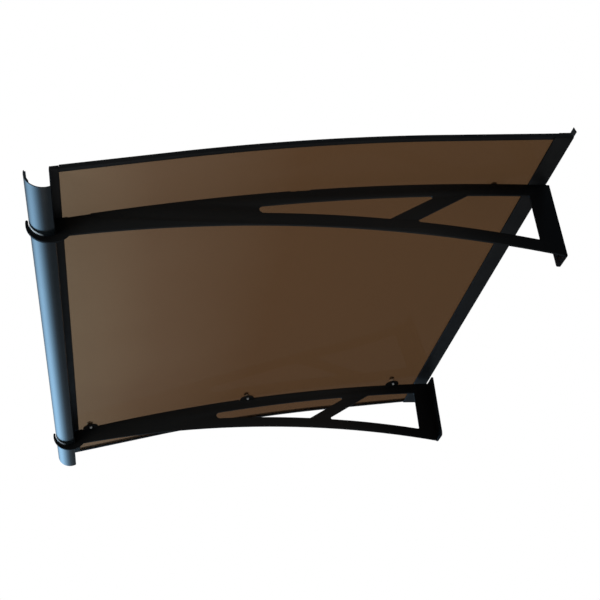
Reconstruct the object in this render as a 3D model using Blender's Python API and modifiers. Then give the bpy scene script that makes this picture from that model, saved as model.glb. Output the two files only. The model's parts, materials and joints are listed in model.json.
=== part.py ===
"""Acrylic door canopy: an arched smoked sheet in a dark aluminium frame with a rain gutter,
carried by two cut-out wall brackets whose hooks hold the gutter.

Axes: +X along the wall, +Y into the wall, +Z up. The wall plane is Y = 0 and the canopy
reaches towards -Y. The origin is midway between the brackets, in the middle of the rear
profile's wall face. Units are metres.
"""

from math import acos, asin, atan2, cos, pi, radians, sin, sqrt, tan

import bmesh
import bpy
from mathutils import Matrix, Vector

# Overall sizes
WIDTH = 1.200
REACH = 0.9934
FIT = 0.0003

# Acrylic sheet: a straight rear run, a gentle bend and a straight front run
SHEET = 0.003
SHEET_REAR_HEIGHT = 0.0019
REAR_SLOPE = radians(5.37)
FRONT_SLOPE = radians(12.35)
REAR_RUN = 0.2676
BEND_RUN = 0.525
BEND_STEPS = 16

# Side profiles: U channels round the long edges of the sheet
SIDE_LIP = 0.0026
SIDE_WEB = 0.002
SIDE_DEPTH = 0.009

# Front profile
FRONT_LOW_LIP = 0.0026
FRONT_TOP_LIP = 0.0014
FRONT_WEB = 0.0025
FRONT_DEPTH = 0.0154
EDGE_ROUND = 0.0008

# Rear profile
REAR_LIP = 0.0038
REAR_TOP_DEPTH = 0.0304
REAR_BOTTOM_DEPTH = 0.0404
REAR_WEB = 0.012
REAR_FACE_HALF = 0.002
REAR_UNDERSIDE = -0.007
REAR_BACK_ROUND = 0.0045
REAR_WALL = 0.002
REAR_CAP = 0.002
SEAL_RECESS = 0.003

# Wall seal and the groove that holds its foot
SEAL_GROOVE_HEIGHT = 0.0047
SEAL_GROOVE_MOUTH = 0.0026
SEAL_GROOVE_NECK = 0.0012
SEAL_GROOVE_WIDTH = 0.0052
SEAL_GROOVE_DEPTH = 0.0034
SEAL_REACH = 0.0101
SEAL_RISE = 0.0246
SEAL_LIP_DROP = 0.0130
SEAL_TIP_INSET = 0.0040

# Gutter
GUTTER_PROUD = 0.0096
GUTTER_DROP = 0.0102
GUTTER_BORE = 0.0293
GUTTER_WALL = 0.0018
GUTTER_BACK_OFFSET = 0.0129
GUTTER_BACK_DROP = 0.0211
GUTTER_BACK_LEAN = radians(6.0)
GUTTER_LIP_RISE = 0.0033
GUTTER_CORNER = 0.0012
GUTTER_STEPS = 28

# Brackets
BRACKET_INSET = 0.13685
PLATE = 0.0048
ARC_INSET = 0.0674
TOP_REAR_HEIGHT = -0.0148
TOP_FRONT_DROP = 0.0012
TOP_BULGE = 0.02477
BOTTOM_REAR_HEIGHT = -0.1945
BOTTOM_FRONT_DROP = 0.0437
BOTTOM_BULGE = 0.0422
TOP_CHORD = 0.0282
BOTTOM_CHORD = 0.027
COLUMN = 0.0505
STRUT_SHARE = 0.2783
STRUT_HEIGHT = -0.087
STRUT_SLOPE = radians(30.3)
STRUT = 0.028
SLOT_SHARE = 0.6241
SLOT_NOSE_RADIUS = 0.0088
SLOT_RADIUS = 0.004
SLOT_BLEND = 0.030
HOOK_PLAY = 0.0013
HOOK_SHIFT_Y = 0.0041
HOOK_SHIFT_Z = -0.0022
HOOK_OUTER_RADIUS = 0.0414
HOOK_TIP_RISE = 0.0018
HOOK_BACK_GAP = 0.0005

# Wall flange of a bracket
FLANGE = 0.005
FLANGE_WIDTH = 0.047
FLANGE_STEP = 0.001
FLANGE_CORNER = 0.010
FLANGE_TOP_CORNER = 0.003
WALL_HOLE = 0.0085
WALL_HOLE_INSET = 0.020
WALL_HOLE_END = 0.020
WALL_HOLES = 3

# Fixing tabs, and the screws that hold the sheet on them
FIXING_SHARES = (0.1163, 0.5400, 0.9553)
TAB = 0.003
TAB_WIDTH = 0.038
TAB_REACH = 0.0245
TAB_DROPS = (-0.0015, 0.0015, 0.0015)
TAB_NOTCH_WIDTH = 0.040
TAB_STEP = 0.0005
SCREW_INSET = 0.0150
SCREW = 0.005
SCREW_HEAD = 0.0095
SCREW_HEAD_HEIGHT = 0.003
SOCKET = 0.003
SOCKET_DEPTH = 0.0016
SEALING_WASHER = 0.015
SEALING_WASHER_HEIGHT = 0.0024
SPACER = 0.010
WASHER_EDGE = 0.0002
NUT_FLATS = 0.008
NUT_HEIGHT = 0.0056
NUT_SKIRT = 0.0026
NUT_FLOOR = 0.0012
NUT_DOME = 0.0074
NUT_CHAMFER = 0.0004
SIDES = 20

POSITIONS = ("rear", "middle", "front")


def empty_scene():
    for old in list(bpy.data.objects):
        bpy.data.objects.remove(old)


def new_collection(name):
    collection = bpy.data.collections.new(name)
    bpy.context.scene.collection.children.link(collection)
    return collection


def material(name, colour, roughness, metallic=0.0, transmission=0.0):
    shader = bpy.data.materials.new(name)
    shader.use_nodes = True
    principled = shader.node_tree.nodes["Principled BSDF"]
    principled.inputs["Base Color"].default_value = (*colour, 1.0)
    principled.inputs["Roughness"].default_value = roughness
    principled.inputs["Metallic"].default_value = metallic
    principled.inputs["Transmission Weight"].default_value = transmission
    return shader


# Modelling helpers

def arc(centre, radius, start, end, steps):
    """Points on a circle in the Y-Z plane, both ends included, angles from +Y."""
    angles = stations(start, end, steps)
    return [(centre[0] + radius * cos(angle), centre[1] + radius * sin(angle)) for angle in angles]


def stations(start, end, steps):
    """Evenly spaced values from start to end, both included."""
    return [start + (end - start) * step / steps for step in range(steps + 1)]


def rounded(corners, steps=4):
    """Outline through (u, v, radius) corners, each rounded by its own radius."""
    points = []
    count = len(corners)
    for index, (u, v, radius) in enumerate(corners):
        corner = Vector((u, v))
        if radius == 0.0:
            points.append((u, v))
            continue
        before = Vector(corners[index - 1][:2]) - corner
        after = Vector(corners[(index + 1) % count][:2]) - corner
        before.normalize()
        after.normalize()
        half = acos(max(-1.0, min(1.0, before.dot(after)))) / 2
        centre = corner + (before + after).normalized() * radius / sin(half)
        first = corner + before * radius / tan(half) - centre
        last = corner + after * radius / tan(half) - centre
        turn = atan2(first.x * last.y - first.y * last.x, first.dot(last))
        start = atan2(first.y, first.x)
        points += arc(centre, radius, start, start + turn, steps)
    return points


def prism(name, outlines, thickness, matrix, collection):
    """Solid of the given thickness from flat outlines; the first is the rim, the rest holes."""
    curve = bpy.data.curves.new(name, "CURVE")
    curve.dimensions = "2D"
    curve.fill_mode = "BOTH"
    curve.extrude = thickness / 2
    for outline in outlines:
        spline = curve.splines.new("POLY")
        spline.points.add(len(outline) - 1)
        for point, (u, v) in zip(spline.points, outline):
            point.co = (u, v, 0.0, 1.0)
        spline.use_cyclic_u = True
    flat = bpy.data.objects.new(name + "_outline", curve)
    flat.matrix_world = matrix
    collection.objects.link(flat)
    bpy.context.view_layer.update()
    evaluated = flat.evaluated_get(bpy.context.evaluated_depsgraph_get())
    mesh = bpy.data.meshes.new_from_object(evaluated)
    mesh.name = name
    clean = bmesh.new()
    clean.from_mesh(mesh)
    bmesh.ops.remove_doubles(clean, verts=clean.verts, dist=0.000001)
    bmesh.ops.recalc_face_normals(clean, faces=clean.faces)
    clean.to_mesh(mesh)
    clean.free()
    solid = bpy.data.objects.new(name, mesh)
    solid.matrix_world = flat.matrix_world.copy()
    collection.objects.link(solid)
    bpy.data.objects.remove(flat)
    return solid


def across(x):
    """Matrix that stands an outline of (y, z) points at x, its thickness along X."""
    return Matrix(((0, 0, 1, x), (1, 0, 0, 0), (0, 1, 0, 0), (0, 0, 0, 1)))


def against_wall(y):
    """Matrix that stands an outline of (x, z) points at y, its thickness along Y."""
    return Matrix(((1, 0, 0, 0), (0, 0, -1, y), (0, 1, 0, 0), (0, 0, 0, 1)))


def turned(name, profile, closed, matrix, collection):
    """Round solid from a profile of (radius, height) points that runs down the outer side."""
    count = len(profile)
    edges = [(index, index + 1) for index in range(count - 1)]
    if closed:
        edges.append((count - 1, 0))
    mesh = bpy.data.meshes.new(name)
    mesh.from_pydata([(radius, 0.0, height) for radius, height in profile], edges, [])
    solid = bpy.data.objects.new(name, mesh)
    solid.matrix_world = matrix
    collection.objects.link(solid)
    screw = solid.modifiers.new("turn", "SCREW")
    screw.steps = SIDES
    screw.render_steps = SIDES
    screw.use_merge_vertices = True
    screw.merge_threshold = 0.00001
    screw.use_smooth_shade = True
    return solid


def hexagon(name, flats, height, matrix, collection):
    """Six-sided prism, its middle at the matrix origin, across the given flats."""
    mesh = bpy.data.meshes.new(name)
    shape = bmesh.new()
    radius = flats / 2 / cos(pi / 6)
    bmesh.ops.create_cone(shape, cap_ends=True, segments=6, radius1=radius, radius2=radius, depth=height)
    shape.to_mesh(mesh)
    shape.free()
    solid = bpy.data.objects.new(name, mesh)
    solid.matrix_world = matrix
    collection.objects.link(solid)
    return solid


def boolean(solid, tool, operation):
    """Boolean modifier; the tool is kept as a hidden wire object."""
    modifier = solid.modifiers.new(tool.name, "BOOLEAN")
    modifier.operation = operation
    modifier.solver = "EXACT"
    modifier.object = tool
    tool.hide_render = True
    tool.display_type = "WIRE"


def finish(solid, shader, smooth_angle=None):
    solid.data.materials.clear()
    solid.data.materials.append(shader)
    if smooth_angle is not None:
        solid.data.shade_smooth()
        solid.data.set_sharp_from_angle(angle=smooth_angle)


# The line of the sheet's underside, in the Y-Z plane

BEND_RADIUS = BEND_RUN / (sin(FRONT_SLOPE) - sin(REAR_SLOPE))


def sheet_slope(y):
    """Angle at which the sheet falls towards the front at y."""
    run = -y
    if run <= REAR_RUN:
        return REAR_SLOPE
    if run >= REAR_RUN + BEND_RUN:
        return FRONT_SLOPE
    return asin(sin(REAR_SLOPE) + (run - REAR_RUN) / BEND_RADIUS)


def sheet_height(y, lift=0.0):
    """Height of the sheet's underside at y, or of the line that lies lift above it."""
    run = -y
    slope = sheet_slope(y)
    height = SHEET_REAR_HEIGHT - tan(REAR_SLOPE) * min(run, REAR_RUN)
    if run > REAR_RUN:
        height += BEND_RADIUS * (cos(slope) - cos(REAR_SLOPE))
    if run > REAR_RUN + BEND_RUN:
        height -= tan(FRONT_SLOPE) * (run - REAR_RUN - BEND_RUN)
    return height + lift / cos(slope)


def sheet_line(start, end, lift):
    """Points along the sheet from y = start to y = end, lift above its underside."""
    low = min(start, end)
    high = max(start, end)
    stations = [start]
    bends = [-REAR_RUN - BEND_RUN * step / BEND_STEPS for step in range(BEND_STEPS + 1)]
    if end > start:
        bends.reverse()
    stations += [y for y in bends if low + 0.001 < y < high - 0.001]
    stations.append(end)
    return [(y, sheet_height(y, lift)) for y in stations]


# Places that several pieces share

FRONT_EDGE = -REACH
SHEET_FRONT = FRONT_EDGE + FRONT_WEB + FIT
SHEET_REAR = -REAR_WEB - FIT
SHEET_HALF = WIDTH / 2 - SIDE_WEB - FIT
SLOT_LOW = -FIT
SLOT_HIGH = SHEET + FIT
FRONT_LOW = SLOT_LOW - FRONT_LOW_LIP
FRONT_HIGH = SLOT_HIGH + FRONT_TOP_LIP
FRONT_BACK = FRONT_EDGE + FRONT_DEPTH
REAR_TOP_FRONT = -REAR_TOP_DEPTH
REAR_BOTTOM_FRONT = -REAR_BOTTOM_DEPTH
BRACKET_OUTSIDE = WIDTH / 2 - BRACKET_INSET
PLATE_MIDDLE = BRACKET_OUTSIDE - PLATE / 2
PLATE_INSIDE = BRACKET_OUTSIDE - PLATE
ARC_SPAN = REACH - ARC_INSET
TOP_FRONT_HEIGHT = sheet_height(-ARC_SPAN) - TOP_FRONT_DROP
BOTTOM_FRONT_HEIGHT = sheet_height(-ARC_SPAN) - BOTTOM_FRONT_DROP
STRUT_Y = -REACH * STRUT_SHARE
SLOT_FRONT = -REACH * SLOT_SHARE
GUTTER_Y = FRONT_EDGE - GUTTER_PROUD
GUTTER_Z = sheet_height(FRONT_EDGE) - GUTTER_DROP
GUTTER_CENTRE = (GUTTER_Y, GUTTER_Z)
GUTTER_OUTER = GUTTER_BORE + GUTTER_WALL
HOOK_CENTRE = (GUTTER_Y + HOOK_SHIFT_Y, GUTTER_Z + HOOK_SHIFT_Z)


def gutter_back(offset, height):
    """Y of the gutter's rear wall, offset behind its inner face, at a height."""
    foot_y = GUTTER_Y + GUTTER_BACK_OFFSET
    foot_z = GUTTER_Z - GUTTER_BACK_DROP
    lean = GUTTER_BACK_LEAN
    return foot_y + offset / cos(lean) - (height - foot_z) * tan(lean)


def back_meets_circle(centre, radius, offset):
    """Point low on a circle where the line of the gutter's rear wall crosses it."""
    lean = GUTTER_BACK_LEAN
    y = gutter_back(offset, centre[1]) - centre[0]
    along = y * sin(lean)
    aside = y * cos(lean)
    reach = sqrt(radius * radius - aside * aside)
    drop = along - reach
    point = (centre[0] + y - drop * sin(lean), centre[1] + drop * cos(lean))
    return point, atan2(point[1] - centre[1], point[0] - centre[0])


def fixing_y(index):
    return -REACH * FIXING_SHARES[index]


# Sheet and frame

def sheet_frame(y, x, lift):
    """Matrix on the sheet at y and x: Z is its normal, Y runs up it towards the wall."""
    slope = sheet_slope(y)
    base = Vector((x, y, sheet_height(y)))
    normal = Vector((0.0, -sin(slope), cos(slope)))
    along = Vector((0.0, cos(slope), sin(slope)))
    place = base + normal * lift
    return Matrix((
        (1.0, along.x, normal.x, place.x),
        (0.0, along.y, normal.y, place.y),
        (0.0, along.z, normal.z, place.z),
        (0.0, 0.0, 0.0, 1.0),
    ))


def make_panel(parts, cutters, shader):
    rim = sheet_line(SHEET_FRONT, SHEET_REAR, 0.0) + sheet_line(SHEET_REAR, SHEET_FRONT, SHEET)
    panel = prism("acrylic_panel", [rim], 2 * SHEET_HALF, across(0.0), parts)
    hole = SCREW / 2 + FIT
    reach = 2 * SHEET
    for side in (-1, 1):
        for index, position in enumerate(POSITIONS):
            x = side * (PLATE_INSIDE - SCREW_INSET)
            place = sheet_frame(fixing_y(index), x, SHEET / 2)
            tool = turned(f"panel_hole_{position}_{side}", [(0, reach), (hole, reach), (hole, -reach), (0, -reach)],
                          False, place, cutters)
            boolean(panel, tool, "DIFFERENCE")
    finish(panel, shader, radians(20))
    return panel


def make_side_profile(side, parts, cutters, shader):
    name = "side_profile_right" if side > 0 else "side_profile_left"
    front = FRONT_BACK + FIT
    low_rear = REAR_BOTTOM_FRONT - FIT
    high_rear = REAR_TOP_FRONT - FIT
    rim = sheet_line(front, low_rear, SLOT_LOW - SIDE_LIP)
    rim += sheet_line(low_rear, high_rear, 0.0)
    rim += sheet_line(high_rear, front, SLOT_HIGH + SIDE_LIP)
    profile = prism(name, [rim], SIDE_DEPTH, across(side * (WIDTH - SIDE_DEPTH) / 2), parts)
    over = 0.01
    groove = sheet_line(front - over, high_rear + over, SLOT_LOW)
    groove += sheet_line(high_rear + over, front - over, SLOT_HIGH)
    inner = side * (WIDTH / 2 - SIDE_WEB - SIDE_DEPTH)
    tool = prism(name + "_groove", [groove], 2 * SIDE_DEPTH, across(inner), cutters)
    boolean(profile, tool, "DIFFERENCE")
    finish(profile, shader, radians(20))
    return profile


def make_front_profile(parts, cutters, shader):
    """Clamp strip along the sheet's front edge, its groove closed at both ends."""
    rim = rounded([
        (FRONT_EDGE, sheet_height(FRONT_EDGE, FRONT_LOW), EDGE_ROUND),
        (FRONT_BACK, sheet_height(FRONT_BACK, FRONT_LOW), EDGE_ROUND),
        (FRONT_BACK, sheet_height(FRONT_BACK, FRONT_HIGH), EDGE_ROUND),
        (FRONT_EDGE, sheet_height(FRONT_EDGE, FRONT_HIGH), EDGE_ROUND),
    ])
    profile = prism("front_profile", [rim], WIDTH, across(0.0), parts)
    floor = FRONT_EDGE + FRONT_WEB
    mouth = FRONT_BACK + FRONT_DEPTH
    groove = sheet_line(floor, mouth, SLOT_LOW) + sheet_line(mouth, floor, SLOT_HIGH)
    tool = prism("front_profile_groove", [groove], 2 * (SHEET_HALF + FIT), across(0.0), cutters)
    boolean(profile, tool, "DIFFERENCE")
    finish(profile, shader, radians(30))
    return profile


def rear_section():
    """Corners of the rear profile from its lower front, behind the seal's groove, to its top front."""
    recess = -SEAL_RECESS
    mouth_low = SEAL_GROOVE_HEIGHT - SEAL_GROOVE_MOUTH / 2
    mouth_high = SEAL_GROOVE_HEIGHT + SEAL_GROOVE_MOUTH / 2
    groove_low = SEAL_GROOVE_HEIGHT - SEAL_GROOVE_WIDTH / 2
    groove_high = SEAL_GROOVE_HEIGHT + SEAL_GROOVE_WIDTH / 2
    neck = recess - SEAL_GROOVE_NECK
    floor = recess - SEAL_GROOVE_DEPTH
    high = SLOT_HIGH + REAR_LIP
    return [
        (REAR_BOTTOM_FRONT, REAR_UNDERSIDE, EDGE_ROUND),
        (0.0, REAR_UNDERSIDE, REAR_BACK_ROUND),
        (0.0, REAR_FACE_HALF, EDGE_ROUND / 2),
        (recess, REAR_FACE_HALF, 0.0),
        (recess, mouth_low, 0.0),
        (neck, mouth_low, 0.0),
        (neck, groove_low, 0.0),
        (floor, groove_low, 0.0),
        (floor, groove_high, 0.0),
        (neck, groove_high, 0.0),
        (neck, mouth_high, 0.0),
        (recess, mouth_high, 0.0),
        (recess, sheet_height(recess, high), EDGE_ROUND),
        (REAR_TOP_FRONT, sheet_height(REAR_TOP_FRONT, high), EDGE_ROUND),
    ]


def make_rear_profile(parts, shader):
    """Clamp for the sheet's rear edge over a hollow box, with a grooved recess for the seal."""
    corners = rear_section() + [
        (REAR_TOP_FRONT, sheet_height(REAR_TOP_FRONT, SLOT_HIGH), 0.0),
        (-REAR_WEB, sheet_height(-REAR_WEB, SLOT_HIGH), 0.0),
        (-REAR_WEB, sheet_height(-REAR_WEB, SLOT_LOW), 0.0),
        (REAR_BOTTOM_FRONT, sheet_height(REAR_BOTTOM_FRONT, SLOT_LOW), EDGE_ROUND),
    ]
    front = REAR_BOTTOM_FRONT + REAR_WALL
    back = -REAR_WEB + REAR_WALL
    ceiling = SLOT_LOW - REAR_WALL
    chamber = [
        (front, REAR_UNDERSIDE + REAR_WALL),
        (back, REAR_UNDERSIDE + REAR_WALL),
        (back, sheet_height(back, ceiling)),
        (front, sheet_height(front, ceiling)),
    ]
    length = WIDTH - 2 * (REAR_CAP + FIT)
    profile = prism("rear_profile", [rounded(corners), chamber], length, across(0.0), parts)
    finish(profile, shader, radians(30))
    return profile


def make_rear_cap(side, parts, shader):
    """Flat cap over the end of the rear profile, open only at the seal's groove."""
    name = "rear_cap_right" if side > 0 else "rear_cap_left"
    corners = rear_section() + [
        (REAR_TOP_FRONT, sheet_height(REAR_TOP_FRONT, SLOT_LOW), 0.0),
        (REAR_BOTTOM_FRONT, sheet_height(REAR_BOTTOM_FRONT, SLOT_LOW), EDGE_ROUND),
    ]
    cap = prism(name, [rounded(corners)], REAR_CAP, across(side * (WIDTH - REAR_CAP) / 2), parts)
    finish(cap, shader, radians(30))
    return cap


def make_wall_seal(parts, shader):
    """Rubber seal: a T foot in the profile's groove, and a thick lip that presses on the wall."""
    back = -SEAL_RECESS + FIT
    neck_half = SEAL_GROOVE_MOUTH / 2 - FIT
    foot_half = SEAL_GROOVE_WIDTH / 2 - FIT
    neck = -SEAL_RECESS - SEAL_GROOVE_NECK - FIT
    foot = -SEAL_RECESS - SEAL_GROOVE_DEPTH + FIT
    middle = SEAL_GROOVE_HEIGHT
    root = REAR_FACE_HALF + FIT
    low_lip = SEAL_RISE - SEAL_LIP_DROP
    tip = SEAL_REACH - SEAL_TIP_INSET
    top_root = sheet_height(back, SLOT_HIGH + REAR_LIP)
    rim = rounded([
        (foot, middle + foot_half, 0.0004),
        (foot, middle - foot_half, 0.0004),
        (neck, middle - foot_half, 0.0),
        (neck, middle - neck_half, 0.0),
        (back, middle - neck_half, 0.0),
        (back, root, 0.0),
        (0.0, root, 0.0005),
        (SEAL_REACH, low_lip, 0.0010),
        (tip, SEAL_RISE, 0.0006),
        (back, top_root, 0.0010),
        (back, middle + neck_half, 0.0),
        (neck, middle + neck_half, 0.0),
        (neck, middle + foot_half, 0.0),
    ])
    seal = prism("wall_seal", [rim], WIDTH, across(0.0), parts)
    finish(seal, shader, radians(30))
    return seal


def make_gutter(parts, shader):
    """J section: a round trough whose front lip is rounded and whose rear wall leans."""
    lip = pi - asin(GUTTER_LIP_RISE / GUTTER_OUTER)
    corner_out, end_out = back_meets_circle(GUTTER_CENTRE, GUTTER_OUTER, GUTTER_WALL)
    corner_in, end_in = back_meets_circle(GUTTER_CENTRE, GUTTER_BORE, 0.0)
    lip_middle = GUTTER_BORE + GUTTER_WALL / 2
    lip_centre = (GUTTER_Y + lip_middle * cos(lip), GUTTER_Z + lip_middle * sin(lip))
    top_y = gutter_back(GUTTER_WALL, GUTTER_Z)
    top = sheet_height(top_y, FRONT_LOW - FIT) - FIT
    trim = GUTTER_CORNER / GUTTER_OUTER
    outer = arc(GUTTER_CENTRE, GUTTER_OUTER, lip - 2 * pi, end_out - trim, GUTTER_STEPS)
    start = corner_out[1] + GUTTER_CORNER
    wall = [(gutter_back(GUTTER_WALL, start), start)]
    wall += [(gutter_back(GUTTER_WALL, top), top), (gutter_back(0.0, top), top)]
    inner = arc(GUTTER_CENTRE, GUTTER_BORE, end_in, lip - 2 * pi, GUTTER_STEPS)
    bead = arc(lip_centre, GUTTER_WALL / 2, lip - 2 * pi, lip - 3 * pi, 6)
    rim = outer + wall + inner + bead[1:-1]
    gutter = prism("gutter", [rim], WIDTH, across(0.0), parts)
    finish(gutter, shader, radians(25))
    return gutter


# Bracket outlines, in the Y-Z plane

def chord_arc(y, rear, front, bulge):
    """Height at y of an arc that rises by its bulge over the line between its end heights."""
    half = ARC_SPAN / 2
    radius = (half * half + bulge * bulge) / (2 * bulge)
    along = -y - half
    rise = sqrt(radius * radius - along * along) - radius + bulge
    return rear + (front - rear) * -y / ARC_SPAN + rise


def plate_top(y):
    """Top edge of the arm: its own arc, kept just under the sheet where they meet."""
    own = chord_arc(y, TOP_REAR_HEIGHT, TOP_FRONT_HEIGHT, TOP_BULGE)
    return min(own, sheet_height(y, -FIT))


def plate_bottom(y):
    return chord_arc(y, BOTTOM_REAR_HEIGHT, BOTTOM_FRONT_HEIGHT, BOTTOM_BULGE)


def strut_y(height, offset):
    """Y of the strut's edge at a height, offset to the wall side of its middle line."""
    return STRUT_Y + (height - STRUT_HEIGHT) / tan(STRUT_SLOPE) + offset / sin(STRUT_SLOPE)


def meet_strut(edge, offset):
    """Point where the strut's edge meets a chord edge, by fixed-point steps."""
    y = STRUT_Y
    for _ in range(60):
        y = (y + strut_y(edge(y), offset)) / 2
    return y, edge(y)


def between(edge, start, end, steps):
    """Points of an edge strictly between two stations."""
    return [(y, edge(y), 0.0) for y in stations(start, end, steps)[1:-1]]


def under_top_chord(y):
    return plate_top(y) - TOP_CHORD


def over_bottom_chord(y):
    return plate_bottom(y) + BOTTOM_CHORD


def long_slot():
    """Front cut-out: a round nose, curved edges and a slanted rear end."""
    high_y, high_z = meet_strut(under_top_chord, -STRUT / 2)
    low_y, low_z = meet_strut(over_bottom_chord, -STRUT / 2)
    corners = [(SLOT_FRONT, under_top_chord(SLOT_FRONT), SLOT_NOSE_RADIUS)]
    corners += between(under_top_chord, SLOT_FRONT + SLOT_NOSE_RADIUS, high_y - SLOT_BLEND, 8)
    corners.append((high_y, high_z, SLOT_RADIUS))
    corners.append((low_y, low_z, SLOT_RADIUS))
    corners += between(over_bottom_chord, low_y - SLOT_BLEND / 3, SLOT_FRONT + SLOT_NOSE_RADIUS, 7)
    corners.append((SLOT_FRONT, over_bottom_chord(SLOT_FRONT), SLOT_NOSE_RADIUS))
    return rounded(corners)


def rear_slot():
    """Rear cut-out: three-cornered with a blunt top, between the strut and the column."""
    high_y, high_z = meet_strut(under_top_chord, STRUT / 2)
    low_y, low_z = meet_strut(over_bottom_chord, STRUT / 2)
    corners = [(low_y, low_z, SLOT_RADIUS), (high_y, high_z, SLOT_RADIUS)]
    corners += between(under_top_chord, high_y + SLOT_BLEND / 3, -COLUMN - SLOT_BLEND / 3, 4)
    corners.append((-COLUMN, under_top_chord(-COLUMN), SLOT_RADIUS))
    corners.append((-COLUMN, over_bottom_chord(-COLUMN), SLOT_RADIUS))
    corners += between(over_bottom_chord, -COLUMN - SLOT_BLEND / 3, low_y + SLOT_BLEND, 6)
    return rounded(corners)


def notched_top():
    """Top edge from the wall to the front profile, let down at the fixing tabs."""
    runs = []
    start = 0.0
    for index, depth in enumerate(TAB_DROPS):
        if depth > 0.0:
            rear = fixing_y(index) + TAB_NOTCH_WIDTH / 2
            front = rear - TAB_NOTCH_WIDTH
            runs.append((start, rear, 0.0, 8))
            runs.append((rear, front, depth, 2))
            start = front
    runs.append((start, FRONT_BACK + FIT, 0.0, 2))
    points = []
    for first, last, drop, steps in runs:
        points += [(y, plate_top(y) - drop) for y in stations(first, last, steps)]
    return points


def hook_outline():
    """From the top front corner down behind the gutter, round the hook and back."""
    centre = (GUTTER_Y, GUTTER_Z + HOOK_PLAY - FIT)
    radius = GUTTER_OUTER + HOOK_PLAY
    offset = GUTTER_WALL + HOOK_BACK_GAP
    root, root_angle = back_meets_circle(centre, radius, offset)
    ledge = sheet_height(FRONT_BACK, FRONT_LOW - FIT)
    front_top = sheet_height(gutter_back(offset, ledge), FRONT_LOW - FIT)
    points = [(FRONT_BACK + FIT, ledge), (gutter_back(offset, front_top), front_top)]
    outer_centre = HOOK_CENTRE
    tip = outer_centre[1] + HOOK_TIP_RISE
    inner_end = -pi - asin((tip - centre[1]) / radius)
    points += arc(centre, radius, root_angle, inner_end, 20)
    outer_start = -pi - asin(HOOK_TIP_RISE / HOOK_OUTER_RADIUS)
    tip_in = points[-1]
    tip_out = arc(outer_centre, HOOK_OUTER_RADIUS, outer_start, outer_start, 1)[0]
    half = (tip_in[0] - tip_out[0]) / 2
    cap_centre = ((tip_in[0] + tip_out[0]) / 2, tip)
    points += arc(cap_centre, half, 0.0, pi, 5)[1:-1]
    outer_end = hook_meets_bottom(outer_centre)
    points += arc(outer_centre, HOOK_OUTER_RADIUS, outer_start, outer_end, 22)
    return points


def hook_meets_bottom(centre):
    """Angle on the hook's outer circle where the arm's bottom edge leaves it."""
    low, high = -pi / 2, -0.1
    for _ in range(50):
        angle = (low + high) / 2
        y = centre[0] + HOOK_OUTER_RADIUS * cos(angle)
        z = centre[1] + HOOK_OUTER_RADIUS * sin(angle)
        if z < plate_bottom(y):
            low = angle
        else:
            high = angle
    return low


def plate_outline():
    """Whole rim of the arm."""
    rim = notched_top() + hook_outline()
    return rim + [(y, plate_bottom(y)) for y in stations(rim[-1][0], 0.0, 24)[1:]]


def make_bracket(side, parts, cutters, shader):
    """Cast bracket: cut-out arm with a gutter hook, wall flange and three fixing tabs."""
    name = "bracket_right" if side > 0 else "bracket_left"
    outlines = [plate_outline(), long_slot(), rear_slot()]
    bracket = prism(name, outlines, PLATE, across(side * PLATE_MIDDLE), parts)
    boolean(bracket, make_flange(name, side, cutters), "UNION")
    for index, position in enumerate(POSITIONS):
        boolean(bracket, make_tab(f"{name}_tab_{position}", index, side, cutters), "UNION")
    finish(bracket, shader, radians(25))
    return bracket


def make_flange(name, side, cutters):
    outer = side * (BRACKET_OUTSIDE - PLATE / 4)
    inner = side * (BRACKET_OUTSIDE - FLANGE_WIDTH)
    bottom = BOTTOM_REAR_HEIGHT - FLANGE_STEP
    rim = rounded([
        (outer, bottom, 0.0),
        (outer, TOP_REAR_HEIGHT, 0.0),
        (inner, TOP_REAR_HEIGHT, FLANGE_TOP_CORNER),
        (inner, bottom, FLANGE_CORNER),
    ], 6)
    holes = []
    x = inner + side * WALL_HOLE_INSET
    for height in stations(TOP_REAR_HEIGHT - WALL_HOLE_END, bottom + WALL_HOLE_END, WALL_HOLES - 1):
        holes.append(arc((x, height), WALL_HOLE / 2, 0.0, 2 * pi * (1 - 1 / SIDES), SIDES - 1))
    return prism(name + "_flange", [rim, *holes], FLANGE, against_wall(-FLANGE / 2), cutters)


def tab_lift(index):
    """Distance of a tab's top below the sheet's underside, along the sheet's normal."""
    y = fixing_y(index)
    drop = sheet_height(y) - plate_top(y) + TAB_DROPS[index]
    return -drop * cos(sheet_slope(y)) - TAB_STEP


def make_tab(name, index, side, cutters):
    """Half-round tab that stands out from the inner face, level with the sheet."""
    nose = TAB_WIDTH / 2
    root = side * PLATE / 2
    straight = -side * (TAB_REACH - nose)
    rim = [(root, nose), (root, -nose)]
    for step in range(13):
        angle = -pi / 2 + pi * step / 12
        rim.append((straight - side * nose * cos(angle), nose * sin(angle)))
    hole = arc((-side * SCREW_INSET, 0.0), SCREW / 2 + FIT, 0.0, 2 * pi * (1 - 1 / SIDES), SIDES - 1)
    place = sheet_frame(fixing_y(index), side * PLATE_INSIDE, tab_lift(index) - TAB / 2)
    return prism(name, [rim, hole], TAB, place, cutters)


# Sheet fixings: screw, sealing washer, spacer and cap nut on one axis

def ring(name, outer, hole, height, place, parts):
    """Washer or spacer with its bottom at the matrix origin."""
    profile = [
        (outer / 2 - WASHER_EDGE, height),
        (outer / 2, height - WASHER_EDGE),
        (outer / 2, WASHER_EDGE),
        (outer / 2 - WASHER_EDGE, 0.0),
        (hole / 2, 0.0),
        (hole / 2, height),
    ]
    return turned(name, profile, True, place, parts)


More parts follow.
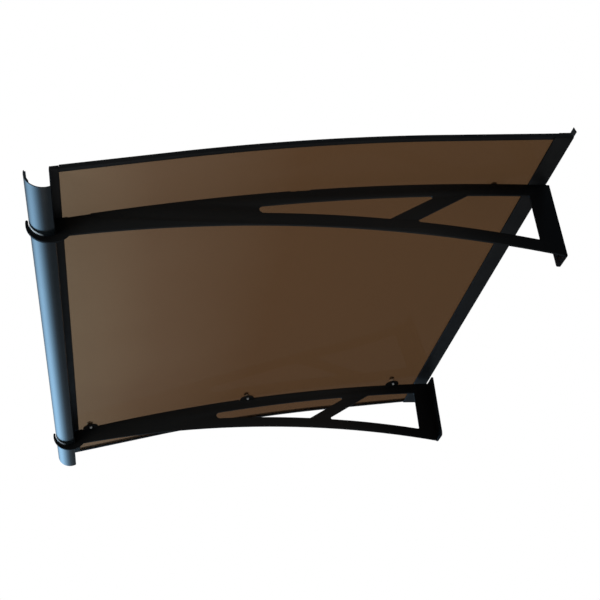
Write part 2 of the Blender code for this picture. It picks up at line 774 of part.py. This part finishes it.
def make_fixing(index, side, parts, cutters, steel, rubber, bush):
    position = POSITIONS[index]
    hand = "right" if side > 0 else "left"
    x = side * (PLATE_INSIDE - SCREW_INSET)
    y = fixing_y(index)
    hole = SCREW + 2 * FIT
    washer_low = SHEET + FIT
    head_low = washer_low + SEALING_WASHER_HEIGHT + FIT
    tab_top = tab_lift(index)
    nut_top = tab_top - TAB - FIT
    shank_end = nut_top - NUT_HEIGHT + NUT_FLOOR + 2 * FIT

    washer = ring(f"sealing_washer_{position}_{hand}", SEALING_WASHER, hole, SEALING_WASHER_HEIGHT,
                  sheet_frame(y, x, washer_low), parts)
    finish(washer, rubber)
    spacer = ring(f"spacer_{position}_{hand}", SPACER, hole, -FIT - tab_top - FIT,
                  sheet_frame(y, x, tab_top + FIT), parts)
    finish(spacer, bush)

    radius = SCREW_HEAD / 2
    profile = [(0.0, SCREW_HEAD_HEIGHT), (radius * 0.6, SCREW_HEAD_HEIGHT)]
    profile += [(radius * 0.93, SCREW_HEAD_HEIGHT * 0.72), (radius, SCREW_HEAD_HEIGHT * 0.3), (radius, 0.0)]
    profile += [(SCREW / 2, 0.0), (SCREW / 2, shank_end - head_low), (0.0, shank_end - head_low)]
    screw = turned(f"screw_{position}_{hand}", profile, False, sheet_frame(y, x, head_low), parts)
    socket_low = head_low + SCREW_HEAD_HEIGHT - SOCKET_DEPTH
    tool = hexagon(f"socket_{position}_{hand}", SOCKET, 2 * SOCKET_DEPTH,
                   sheet_frame(y, x, socket_low + SOCKET_DEPTH), cutters)
    boolean(screw, tool, "DIFFERENCE")
    finish(screw, steel)

    nut = make_nut(f"cap_nut_{position}_{hand}", hole, sheet_frame(y, x, nut_top), parts, cutters)
    finish(nut, steel)
    return washer, spacer, screw, nut


def make_nut(name, hole, place, parts, cutters):
    """Cap nut that hangs from the matrix origin: hexagon skirt, domed cap, blind bore."""
    corner = NUT_FLATS / 2 / cos(pi / 6)
    dome = NUT_DOME / 2
    floor = -NUT_HEIGHT + NUT_FLOOR
    profile = [(0.0, floor), (hole / 2, floor), (hole / 2, 0.0)]
    profile += [(corner - NUT_CHAMFER, 0.0), (corner, -NUT_CHAMFER)]
    profile += [(corner, -NUT_SKIRT + NUT_CHAMFER), (dome, -NUT_SKIRT)]
    rise = NUT_HEIGHT - NUT_SKIRT
    for step in range(1, 5):
        angle = pi / 2 * step / 5
        profile.append((dome * cos(angle), -NUT_SKIRT - rise * sin(angle)))
    profile.append((0.0, -NUT_HEIGHT))
    nut = turned(name, profile, False, place, parts)
    centre = place @ Matrix.Translation((0.0, 0.0, -NUT_HEIGHT / 2))
    tool = hexagon(name + "_flats", NUT_FLATS, NUT_HEIGHT * 2, centre, cutters)
    boolean(nut, tool, "INTERSECT")
    return nut


def main():
    empty_scene()
    parts = new_collection("acrylic_door_canopy")
    cutters = new_collection("cutters")

    smoke = material("smoked_acrylic", (0.13, 0.085, 0.055), 0.05, transmission=0.6)
    frame = material("anthracite_aluminium", (0.02, 0.021, 0.023), 0.4, metallic=0.3)
    gloss = material("gutter_aluminium", (0.035, 0.045, 0.055), 0.15, metallic=0.6)
    cast = material("black_bracket_paint", (0.012, 0.012, 0.013), 0.45)
    steel = material("stainless_steel", (0.6, 0.6, 0.58), 0.3, metallic=1.0)
    rubber = material("black_rubber", (0.01, 0.01, 0.01), 0.8)
    bush = material("clear_bush", (0.2, 0.15, 0.11), 0.3, transmission=0.5)

    make_panel(parts, cutters, smoke)
    make_front_profile(parts, cutters, frame)
    make_rear_profile(parts, frame)
    make_wall_seal(parts, rubber)
    make_gutter(parts, gloss)
    for side in (-1, 1):
        make_side_profile(side, parts, cutters, frame)
        make_rear_cap(side, parts, frame)
        make_bracket(side, parts, cutters, cast)
        for index in range(len(POSITIONS)):
            make_fixing(index, side, parts, cutters, steel, rubber, bush)


main()
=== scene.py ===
import json
from math import cos, radians, sin

import bpy
from mathutils import Matrix, Vector

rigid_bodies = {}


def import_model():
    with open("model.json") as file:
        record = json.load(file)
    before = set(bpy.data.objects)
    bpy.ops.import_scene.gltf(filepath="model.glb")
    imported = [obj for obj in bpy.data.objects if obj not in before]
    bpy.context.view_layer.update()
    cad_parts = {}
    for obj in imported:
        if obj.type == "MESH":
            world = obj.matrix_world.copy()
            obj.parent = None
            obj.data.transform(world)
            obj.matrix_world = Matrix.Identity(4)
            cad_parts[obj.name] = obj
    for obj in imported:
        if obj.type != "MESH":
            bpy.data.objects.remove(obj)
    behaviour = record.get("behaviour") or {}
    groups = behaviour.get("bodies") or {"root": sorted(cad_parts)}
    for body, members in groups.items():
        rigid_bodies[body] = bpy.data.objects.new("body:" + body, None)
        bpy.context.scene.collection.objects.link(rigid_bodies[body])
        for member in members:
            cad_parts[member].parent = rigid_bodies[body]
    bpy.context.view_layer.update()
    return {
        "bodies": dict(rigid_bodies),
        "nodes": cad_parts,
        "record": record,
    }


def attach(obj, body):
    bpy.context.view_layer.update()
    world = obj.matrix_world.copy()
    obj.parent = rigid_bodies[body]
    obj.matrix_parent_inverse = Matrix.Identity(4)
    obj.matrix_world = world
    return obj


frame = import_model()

scene = bpy.context.scene
nodes = frame["nodes"]
slots = {row["node"]: row["material_slot"] for row in frame["record"]["subparts"]}


# Colours, linear. A fade is a table of (place, colour) stops, with places from 0 to 1

# Painted light across the smoked sheet: palest at the front, darker towards the wall
SHEET_PAINTED_LIGHT_FADE = (
    (0.00, (0.226, 0.168, 0.110)),
    (0.25, (0.150, 0.093, 0.055)),
    (0.50, (0.116, 0.062, 0.030)),
    (1.00, (0.106, 0.057, 0.027)),
)
# Painted light and shade along each bracket: painted shade in the hooks and at the wall, paler
# between
BRACKET_PAINTED_SHADING = (
    (0.00, (0.0010, 0.0010, 0.0011)),
    (0.05, (0.0013, 0.0013, 0.0014)),
    (0.12, (0.0052, 0.0056, 0.0056)),
    (0.70, (0.0088, 0.0085, 0.0080)),
    (0.88, (0.0020, 0.0020, 0.0020)),
    (1.00, (0.0007, 0.0007, 0.0008)),
)
SKY_FADE = (
    (0.00, (0.12, 0.15, 0.18)),
    (0.39, (0.23, 0.32, 0.41)),
    (0.67, (0.56, 0.96, 1.38)),
    (0.88, (1.12, 2.00, 2.90)),
    (1.00, (1.65, 2.95, 4.30)),
)
FRAME_TINTS = (0.0030, 0.0029, 0.0029), (0.0048, 0.0046, 0.0045)
GUTTER_TINTS = (0.003, 0.004, 0.005), (0.004, 0.006, 0.007)
STEEL_TINTS = (0.55, 0.55, 0.53), (0.68, 0.68, 0.66)
BUSH_TINTS = (0.10, 0.070, 0.045), (0.14, 0.095, 0.062)
RUBBER_TINTS = (0.010, 0.010, 0.011), (0.017, 0.017, 0.017)
SILICONE_TINTS = (0.70, 0.68, 0.64), (0.80, 0.78, 0.75)
# Pale colour of the painted highlight on the gutter beside each hook
PAINTED_HIGHLIGHT = (0.42, 0.50, 0.56)
FLOOR_GREY = (0.7, 0.7, 0.7)
SOFT_LIGHT = (0.93, 0.97, 1.0)
WHITE = (1.0, 1.0, 1.0)

# The middle part of a noise texture's range, where most of its values lie

TINT_RANGE = (0.35, 0.65)
VALUE_RANGE = (0.3, 0.7)

# Places from the CAD source, in metres: y and z of the gutter's axis, x of a bracket's plate

GUTTER_Y, GUTTER_Z = -1.0030, -0.1593
PLATE_MIDDLE = 0.46075

# Fades of painted light and shade along the canopy, as y where they begin and end

SHEET_SPAN = (-1.0, -0.1)
BRACKET_SPAN = (-1.03, 0.0)

# Painted highlight beside each hook, wider on the inner side: x of its middle, the distances from
# there at which it begins and is full, and y where it begins and is full

HIGHLIGHT_MIDDLE = PLATE_MIDDLE - 0.0019
HIGHLIGHT_REACH = (0.0099, 0.0081)
HIGHLIGHT_SPAN = (GUTTER_Y - 0.004, GUTTER_Y - 0.024)

# Edges, with lengths in metres

WELD_DISTANCE = 0.000005
FLAT_ANGLE = radians(0.3)
EDGE_ANGLE = radians(32)
BEVEL_STEPS = 2
BEVELS = {"bracket_paint": 0.0003, "frame_aluminium": 0.0003}

# Hem of the gutter's lip: radii about the gutter's axis, angles from the y axis in degrees

HEM_OUTER, HEM_INNER = 0.0290, 0.0268
HEM_START, HEM_SWEEP, HEM_STEPS = 174.5, 44.0, 10
HEM_HALF_LENGTH = 0.5997
HEM_BEVEL = 0.0004

# Camera at the photo's viewpoint: its place, and its axes as they lie in the picture

CAMERA_PLACE = (1.90706, -0.86827, -1.21718)
CAMERA_RIGHT = Vector((0.21207837, 0.97105608, -0.10987651))
CAMERA_DOWN = Vector((-0.50820013, 0.01355229, -0.86113237))
CAMERA_FORWARD = Vector((-0.83471875, 0.2384668, 0.49636498))

# Stage. To the eye the floor turns white over a span of distances from its middle, and reflections
# show the sky fade over a span of cosines of the angle to the sky's brightest direction

FLOOR_HALF = 2.9
FLOOR_HEIGHT = -2.95
WHITEN_SPAN = (0.6, 2.8)
WHITE_SHARE = (0.5, 1.0)
SOFT_STRENGTH = 0.42
SKY_DIRECTION = (-0.83, -0.535, -0.15)
SKY_SPAN = (0.70, 1.0)


# Node materials

def rgba(colour):
    return (*colour, 1.0)


def new_material(name):
    material = bpy.data.materials.new(name)
    material.use_nodes = True
    tree = material.node_tree
    return material, tree, tree.nodes["Principled BSDF"]


def add(tree, kind, **values):
    """Node whose sockets and attributes have the given values."""
    node = tree.nodes.new(kind)
    for key, value in values.items():
        if key in node.inputs:
            node.inputs[key].default_value = value
        else:
            setattr(node, key, value)
    return node


def calculate(tree, operation, *values):
    """Math node over sockets and plain numbers."""
    node = add(tree, "ShaderNodeMath", operation=operation)
    for socket, value in zip(node.inputs, values):
        if isinstance(value, bpy.types.NodeSocket):
            tree.links.new(value, socket)
        else:
            socket.default_value = value
    return node.outputs["Value"]


def spread(tree, value, start, end, low=0.0, high=1.0, curve="LINEAR"):
    """Value carried over from start...end to low...high, and held at both ends."""
    node = add(tree, "ShaderNodeMapRange", interpolation_type=curve)
    node.inputs["From Min"].default_value = start
    node.inputs["From Max"].default_value = end
    node.inputs["To Min"].default_value = low
    node.inputs["To Max"].default_value = high
    tree.links.new(value, node.inputs["Value"])
    return node.outputs["Result"]


def fade_colours(tree, factor, table):
    """Colour read from a fade."""
    ramp = add(tree, "ShaderNodeValToRGB")
    stops = ramp.color_ramp.elements
    for index, (place, colour) in enumerate(table):
        if index >= 2:
            stops.new(place)
        stops[index].position = place
        stops[index].color = rgba(colour)
    tree.links.new(factor, ramp.inputs["Fac"])
    return ramp.outputs["Color"]


def mix_values(tree, low, high, share):
    """The first value with a share of the second blended in."""
    node = add(tree, "ShaderNodeMix", data_type="FLOAT")
    node.inputs["Factor"].default_value = share
    tree.links.new(low, node.inputs["A"])
    tree.links.new(high, node.inputs["B"])
    return node.outputs["Result"]


def mix_shaders(tree, share, first, second):
    """The first shader with a share of the second blended in."""
    node = add(tree, "ShaderNodeMixShader")
    tree.links.new(share, node.inputs["Fac"])
    tree.links.new(first.outputs[0], node.inputs[1])
    tree.links.new(second.outputs[0], node.inputs[2])
    return node


def noise(tree, scale, detail=4.0, stretch=(1.0, 1.0, 1.0)):
    """Noise over object coordinates, stretched along the axes."""
    place = add(tree, "ShaderNodeTexCoord")
    mapping = add(tree, "ShaderNodeMapping", Scale=stretch)
    texture = add(tree, "ShaderNodeTexNoise", Scale=scale, Detail=detail)
    tree.links.new(place.outputs["Object"], mapping.inputs["Vector"])
    tree.links.new(mapping.outputs["Vector"], texture.inputs["Vector"])
    return texture.outputs["Fac"]


def drifting_colour(tree, scale, tints):
    """Colour that drifts between two tints."""
    return fade_colours(tree, noise(tree, scale), tuple(zip(TINT_RANGE, tints)))


def drifting_value(tree, scale, low, high, detail=4.0):
    """Number that drifts between low and high."""
    return spread(tree, noise(tree, scale, detail), *VALUE_RANGE, low, high)


def coordinate(tree, axis):
    """X, Y or Z of the place on the surface, in the canopy's own frame."""
    place = add(tree, "ShaderNodeTexCoord")
    split = add(tree, "ShaderNodeSeparateXYZ")
    tree.links.new(place.outputs["Object"], split.inputs["Vector"])
    return split.outputs[axis]


def bump(tree, shader, height, strength, distance):
    node = add(tree, "ShaderNodeBump", Strength=strength, Distance=distance)
    tree.links.new(height, node.inputs["Height"])
    tree.links.new(node.outputs["Normal"], shader.inputs["Normal"])


def dress(tree, shader, colour, roughness):
    tree.links.new(colour, shader.inputs["Base Color"])
    tree.links.new(roughness, shader.inputs["Roughness"])


def acrylic():
    """Smoked sheet with painted light that makes it paler towards the front, faintly clouded,
    glossy and see-through.
    """
    material, tree, shader = new_material("smoked_acrylic_look")
    along = spread(tree, coordinate(tree, "Y"), *SHEET_SPAN)
    painted_light_and_clouds = mix_values(tree, along, noise(tree, scale=3.0, detail=2.0), share=0.12)
    gloss = drifting_value(tree, scale=9.0, low=0.03, high=0.07, detail=3.0)
    dress(tree, shader, fade_colours(tree, painted_light_and_clouds, SHEET_PAINTED_LIGHT_FADE), gloss)
    shader.inputs["Transmission Weight"].default_value = 0.75
    shader.inputs["IOR"].default_value = 1.08
    return material


def powder_coat(tree, shader, colour, rough, specular):
    """Satin powder coat: a fine orange-peel bump, and a gloss that drifts a little."""
    gloss = drifting_value(tree, scale=40.0, low=rough - 0.05, high=rough + 0.06)
    dress(tree, shader, colour, gloss)
    bump(tree, shader, noise(tree, scale=2200.0, detail=2.0), strength=0.12, distance=0.0002)
    shader.inputs["Specular IOR Level"].default_value = specular


def frame_coat():
    material, tree, shader = new_material("frame_look")
    colour = drifting_colour(tree, scale=14.0, tints=FRAME_TINTS)
    powder_coat(tree, shader, colour, rough=0.5, specular=0.16)
    return material


def bracket_coat():
    """Powder coat with painted light and shade along the bracket: darkest, as painted shade, in the
    hooks and at the wall.
    """
    material, tree, shader = new_material("bracket_look")
    along = spread(tree, coordinate(tree, "Y"), *BRACKET_SPAN)
    painted_light_and_clouds = mix_values(tree, along, noise(tree, scale=12.0), share=0.06)
    powder_coat(tree, shader, fade_colours(tree, painted_light_and_clouds, BRACKET_PAINTED_SHADING), rough=0.55, specular=0.11)
    return material


def painted_highlight_mask(tree):
    """Factor that is 1 on the gutter's front half close beside each hook, where the highlight is
    painted, and 0 elsewhere.
    """
    side = calculate(tree, "ABSOLUTE", coordinate(tree, "X"))
    reach = calculate(tree, "ABSOLUTE", calculate(tree, "SUBTRACT", side, HIGHLIGHT_MIDDLE))
    near = spread(tree, reach, *HIGHLIGHT_REACH)
    forward = spread(tree, coordinate(tree, "Y"), *HIGHLIGHT_SPAN)
    return calculate(tree, "MULTIPLY", near, forward)


def gutter_coat():
    """Smooth dark coat with a clear gloss, and a pale painted highlight beside the hooks."""
    material, tree, shader = new_material("gutter_look")
    mix = add(tree, "ShaderNodeMix", data_type="RGBA")
    factor, clean, highlighted, mixed = mix.inputs[0], mix.inputs[6], mix.inputs[7], mix.outputs[2]
    tree.links.new(painted_highlight_mask(tree), factor)
    tree.links.new(drifting_colour(tree, scale=10.0, tints=GUTTER_TINTS), clean)
    highlighted.default_value = rgba(PAINTED_HIGHLIGHT)
    dress(tree, shader, mixed, drifting_value(tree, scale=30.0, low=0.13, high=0.17))
    waves = noise(tree, scale=60.0, detail=2.0, stretch=(0.1, 1.0, 1.0))
    bump(tree, shader, waves, strength=0.008, distance=0.0003)
    return material


def drifting_look(name, tints, tint_scale, rough, rough_scale):
    """Material whose colour and roughness both drift."""
    material, tree, shader = new_material(name)
    gloss = drifting_value(tree, rough_scale, *rough)
    dress(tree, shader, drifting_colour(tree, tint_scale, tints), gloss)
    return material, tree, shader


def steel():
    material, tree, shader = drifting_look(
        "stainless_look", STEEL_TINTS, tint_scale=300.0, rough=(0.22, 0.38), rough_scale=600.0
    )
    bump(tree, shader, noise(tree, scale=1500.0, detail=2.0), strength=0.05, distance=0.0001)
    shader.inputs["Metallic"].default_value = 1.0
    return material


def clear_bush():
    material, _, _ = drifting_look(
        "clear_bush_look", BUSH_TINTS, tint_scale=120.0, rough=(0.3, 0.45), rough_scale=300.0
    )
    return material


def rubber():
    material, tree, shader = drifting_look(
        "rubber_look", RUBBER_TINTS, tint_scale=60.0, rough=(0.6, 0.8), rough_scale=200.0
    )
    bump(tree, shader, noise(tree, scale=1800.0, detail=3.0), strength=0.2, distance=0.0002)
    return material


def silicone():
    """Milky sealing washers."""
    material, _, shader = drifting_look(
        "silicone_look", SILICONE_TINTS, tint_scale=150.0, rough=(0.35, 0.50), rough_scale=400.0
    )
    shader.inputs["Transmission Weight"].default_value = 0.6
    return material


LOOKS = {
    "smoked_acrylic": acrylic(),
    "frame_aluminium": frame_coat(),
    "gutter_aluminium": gutter_coat(),
    "bracket_paint": bracket_coat(),
    "stainless_steel": steel(),
    "clear_bush": clear_bush(),
    "seal_rubber": rubber(),
}
SILICONE = silicone()


# Edges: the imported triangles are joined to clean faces, then rounded and shaded smoothly

def shading_group():
    """Geometry nodes that drop stored normals and shade smooth below the edge angle."""
    group = bpy.data.node_groups.new("shade_by_angle", "GeometryNodeTree")
    group.interface.new_socket("Geometry", in_out="INPUT", socket_type="NodeSocketGeometry")
    group.interface.new_socket("Geometry", in_out="OUTPUT", socket_type="NodeSocketGeometry")
    source = add(group, "NodeGroupInput")
    result = add(group, "NodeGroupOutput")
    drop = add(group, "GeometryNodeRemoveAttribute", Name="custom_normal")
    faces = add(group, "GeometryNodeSetShadeSmooth", domain="FACE")
    edges = add(group, "GeometryNodeSetShadeSmooth", domain="EDGE")
    measure = add(group, "GeometryNodeInputMeshEdgeAngle")
    compare = add(group, "FunctionNodeCompare", data_type="FLOAT", operation="LESS_THAN")
    compare.inputs["B"].default_value = EDGE_ANGLE
    group.links.new(source.outputs[0], drop.inputs["Geometry"])
    group.links.new(drop.outputs["Geometry"], faces.inputs["Geometry"])
    group.links.new(faces.outputs["Geometry"], edges.inputs["Geometry"])
    group.links.new(measure.outputs["Unsigned Angle"], compare.inputs["A"])
    group.links.new(compare.outputs["Result"], edges.inputs["Shade Smooth"])
    group.links.new(edges.outputs["Geometry"], result.inputs[0])
    return group


SHADING = shading_group()


def soften(node, width):
    """Clean faces, an edge bevel of the given width if there is one, and smooth shading."""
    weld = node.modifiers.new("weld", "WELD")
    weld.merge_threshold = WELD_DISTANCE
    planar = node.modifiers.new("planar", "DECIMATE")
    planar.decimate_type = "DISSOLVE"
    planar.angle_limit = FLAT_ANGLE
    if width:
        bevel = node.modifiers.new("bevel", "BEVEL")
        bevel.width = width
        bevel.segments = BEVEL_STEPS
        bevel.limit_method = "ANGLE"
        bevel.angle_limit = EDGE_ANGLE
    shade = node.modifiers.new("shade", "NODES")
    shade.node_group = SHADING


for name, node in nodes.items():
    slot = slots[name]
    node.material_slots[0].material = SILICONE if name.startswith("sealing_washer") else LOOKS[slot]
    soften(node, BEVELS.get(slot, 0.0))


# The gutter's front lip is folded over inside; the CAD lip is a plain round one

def lip_hem():
    """Fold that lies inside the front lip, along the whole gutter."""
    angles = [radians(HEM_START + HEM_SWEEP * step / HEM_STEPS) for step in range(HEM_STEPS + 1)]
    outer = [(HEM_OUTER, angle) for angle in angles]
    inner = [(HEM_INNER, angle) for angle in reversed(angles)]
    outline = [(GUTTER_Y + r * cos(angle), GUTTER_Z + r * sin(angle)) for r, angle in outer + inner]
    count = len(outline)
    points = [(x, y, z) for x in (-HEM_HALF_LENGTH, HEM_HALF_LENGTH) for y, z in outline]
    faces = [list(range(count)), list(range(2 * count - 1, count - 1, -1))]
    faces += [((i + 1) % count, i, count + i, count + (i + 1) % count) for i in range(count)]
    mesh = bpy.data.meshes.new("gutter_lip_hem")
    mesh.from_pydata(points, [], faces)
    hem = bpy.data.objects.new("gutter_lip_hem", mesh)
    scene.collection.objects.link(hem)
    mesh.materials.append(LOOKS["gutter_aluminium"])
    soften(hem, HEM_BEVEL)
    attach(hem, next(iter(frame["bodies"])))


lip_hem()


# Camera

camera = bpy.data.objects.new("camera", bpy.data.cameras.new("camera"))
scene.collection.objects.link(camera)
turn = Matrix((CAMERA_RIGHT, -CAMERA_DOWN, -CAMERA_FORWARD)).transposed()
camera.matrix_world = Matrix.Translation(CAMERA_PLACE) @ turn.to_4x4()
camera.data.sensor_width = 36
camera.data.lens = 57.12
camera.data.shift_x = -0.0956
camera.data.shift_y = 0.0373
camera.data.clip_start = 0.05
scene.camera = camera


# Stage: floor, world and lamps

def seen_directly(tree):
    """Factor that is 1 for rays from the camera and through the sheet, and 0 for all others."""
    path = add(tree, "ShaderNodeLightPath").outputs
    return calculate(tree, "MAXIMUM", path["Is Camera Ray"], path["Is Transmission Ray"])


def build_floor():
    """Pale floor that keeps the canopy's shadow and fades to the white of the world at its rim."""
    low, high = -FLOOR_HALF, FLOOR_HALF
    corners = [(low, low, 0.0), (high, low, 0.0), (high, high, 0.0), (low, high, 0.0)]
    mesh = bpy.data.meshes.new("floor")
    mesh.from_pydata(corners, [], [(0, 1, 2, 3)])
    floor = bpy.data.objects.new("floor", mesh)
    floor.location.z = FLOOR_HEIGHT
    scene.collection.objects.link(floor)
    material, tree, shader = new_material("floor_look")
    shader.inputs["Base Color"].default_value = rgba(FLOOR_GREY)
    shader.inputs["Roughness"].default_value = 0.9
    white = add(tree, "ShaderNodeEmission", Color=rgba(WHITE), Strength=1.0)
    place = add(tree, "ShaderNodeTexCoord")
    distance = add(tree, "ShaderNodeVectorMath", operation="LENGTH")
    tree.links.new(place.outputs["Object"], distance.inputs[0])
    whiteness = spread(tree, distance.outputs["Value"], *WHITEN_SPAN, *WHITE_SHARE, "SMOOTHSTEP")
    share = calculate(tree, "MULTIPLY", whiteness, seen_directly(tree))
    mix = mix_shaders(tree, share, shader, white)
    tree.links.new(mix.outputs[0], tree.nodes["Material Output"].inputs["Surface"])
    mesh.materials.append(material)


def build_world():
    """Even soft light, white to the eye, with a bright sky to the front left in reflections."""
    world = bpy.data.worlds.new("studio")
    world.use_nodes = True
    scene.world = world
    tree = world.node_tree
    soft = tree.nodes["Background"]
    soft.inputs["Color"].default_value = rgba(SOFT_LIGHT)
    soft.inputs["Strength"].default_value = SOFT_STRENGTH
    white = add(tree, "ShaderNodeBackground", Color=rgba(WHITE), Strength=1.0)
    sky = add(tree, "ShaderNodeBackground", Strength=1.0)

    place = add(tree, "ShaderNodeTexCoord")
    towards = add(tree, "ShaderNodeVectorMath", operation="DOT_PRODUCT")
    towards.inputs[1].default_value = SKY_DIRECTION
    tree.links.new(place.outputs["Generated"], towards.inputs[0])
    nearness = spread(tree, towards.outputs["Value"], *SKY_SPAN)
    tree.links.new(fade_colours(tree, nearness, SKY_FADE), sky.inputs["Color"])

    path = add(tree, "ShaderNodeLightPath")
    lit = mix_shaders(tree, path.outputs["Is Glossy Ray"], soft, sky)
    mix = mix_shaders(tree, seen_directly(tree), lit, white)
    tree.links.new(mix.outputs[0], tree.nodes["World Output"].inputs["Surface"])


def lamp(name, place, target, size, power):
    """Square lamp that is seen neither directly, nor through the sheet, nor in reflections."""
    data = bpy.data.lights.new(name, "AREA")
    data.size = size
    data.energy = power
    light = bpy.data.objects.new(name, data)
    light.location = place
    light.rotation_euler = (Vector(target) - Vector(place)).to_track_quat("-Z", "Y").to_euler()
    light.visible_camera = False
    light.visible_transmission = False
    light.visible_glossy = False
    scene.collection.objects.link(light)


build_floor()
build_world()
lamp("key", place=(-1.5, -3.5, 2.5), target=(0, -0.5, 0), size=2.0, power=120)
lamp("fill", place=(1.5, -2.4, -1.0), target=(0.2, -0.9, -0.15), size=1.0, power=50)

scene.view_settings.view_transform = "Standard"
